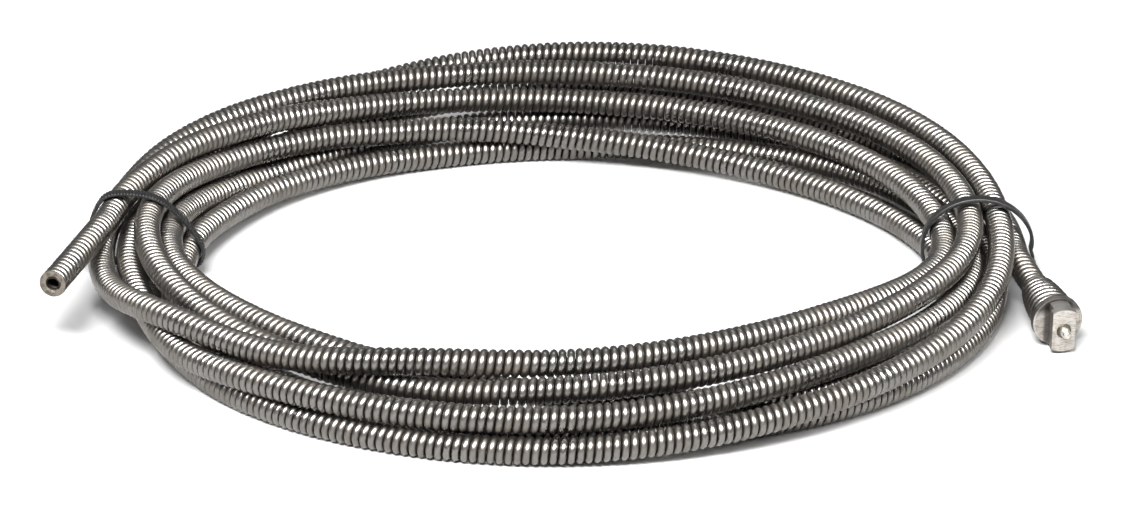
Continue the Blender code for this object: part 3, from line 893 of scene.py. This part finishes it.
def make_tie(side, line, look):
    """Strap and head of one tie, around the passes of the cable that it holds."""
    passes = crossings(line, -1 if side == "left" else 1, TIE_Y + ORIGIN.y) - (ORIGIN.x, 0.0)
    if side == "right":
        passes = np.vstack((passes, LOOSE_SPOT))
    loop = Loop(passes, STIFFNESS[side])
    strap, q, t, n = strap_line(loop, HEAD_DIRECTION[side])
    place = Matrix.Translation(ORIGIN * MM)
    band = finished(strap_mesh("strap", strap, toothed=side == "left"), 40.0)
    head = finished(head_mesh("head", q, t, n))
    for name, mesh in (("strap_", band), ("head_", head)):
        stands_for(add_object(name + side, mesh, look, place), "coil", "tie_" + side)


# ---------------------------------------------------------------- stage

def stage():
    """Wide pale floor, just under the lowest piece."""
    made, shader = new_material("studio_floor")
    g = Graph(made)
    mottle = g.noise(g.place(), 3.0, 2.0, 0.5)
    g.put(shader.inputs["Base Color"], g.mix(mottle, (0.86, 0.86, 0.86, 1), (0.89, 0.89, 0.89, 1)))
    shader.inputs["Roughness"].default_value = 0.9
    shader.inputs["Specular IOR Level"].default_value = 0.1
    mesh = bpy.data.meshes.new("floor")
    corners = [(x * FLOOR_HALF, y * FLOOR_HALF, 0) for x, y in ((-1, -1), (1, -1), (1, 1), (-1, 1))]
    mesh.from_pydata(corners, [], [(0, 1, 2, 3)])
    floor = add_object("floor", mesh, made)
    floor.location.z = -0.2 * MM


def softbox(name, azimuth, elevation, distance, size, power, sheen_only, target):
    """Area light that faces the target; azimuth 0 is behind the camera and 90 on the right."""
    light = bpy.data.lights.new(name, "AREA")
    light.shape = "RECTANGLE"
    light.size, light.size_y = size
    light.energy = power
    made = bpy.data.objects.new(name, light)
    bpy.context.scene.collection.objects.link(made)
    a, e = math.radians(azimuth), math.radians(elevation)
    back = Vector((math.sin(a) * math.cos(e), -math.cos(a) * math.cos(e), math.sin(e)))
    made.location = target + back * distance
    made.rotation_euler = (-back).to_track_quat("-Z", "Y").to_euler()
    made.visible_diffuse = not sheen_only


def light_and_camera():
    middle = AIM * MM
    scene = bpy.context.scene
    world = bpy.data.worlds.new("studio")
    scene.world = world
    world.use_nodes = True
    background = world.node_tree.nodes["Background"]
    background.inputs["Color"].default_value = (1.0, 1.0, 1.0, 1.0)
    background.inputs["Strength"].default_value = WORLD_STRENGTH
    for light in LIGHTS:
        softbox(*light, target=middle)
    camera = bpy.data.cameras.new("camera")
    camera.sensor_width = 36.0
    camera.lens = CAMERA_LENS
    camera.shift_y = CAMERA_SHIFT
    made = bpy.data.objects.new("camera", camera)
    scene.collection.objects.link(made)
    tilt = math.radians(CAMERA_TILT)
    back = Vector((0.0, -math.cos(tilt), math.sin(tilt)))
    made.location = middle + back * CAMERA_DISTANCE
    made.rotation_euler = (-back).to_track_quat("-Z", "Y").to_euler()
    camera.clip_start, camera.clip_end = 0.05, 50.0
    scene.camera = made
    scene.view_settings.view_transform = "Standard"
    scene.view_settings.look = "None"


# ---------------------------------------------------------------- object

def main():
    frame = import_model()
    nodes = frame["nodes"]
    tail_hinge = mm(joint_of(frame, "tail_flex")["pos_m"])
    lead_hinge = mm(joint_of(frame, "lead_flex")["pos_m"])
    lead_axis = -Vector(joint_of(frame, "plunger_slide")["axis"]).normalized()
    tail_end = far_end(nodes["cable_tail"], tail_hinge)
    on_flange = mm(mount_of(frame, "flange_face")["pos_m"])
    flange_face = lead_hinge + lead_axis * (on_flange - lead_hinge).dot(lead_axis)
    middles = tube_middles(nodes["cable_coil"], tail_hinge, lead_hinge)
    tail, lead = straight(tail_end, tail_hinge), straight(lead_hinge, flange_face)
    line = Line([*tail, tail_hinge, *middles, *lead, flange_face])
    wind_cable(line, tail_hinge, lead_hinge)
    end_face(line)
    make_coupling(flange_face, lead_axis)
    black = nylon("tie_nylon")
    make_tie("left", line, black)
    make_tie("right", line, black)
    stage()
    light_and_camera()


main()
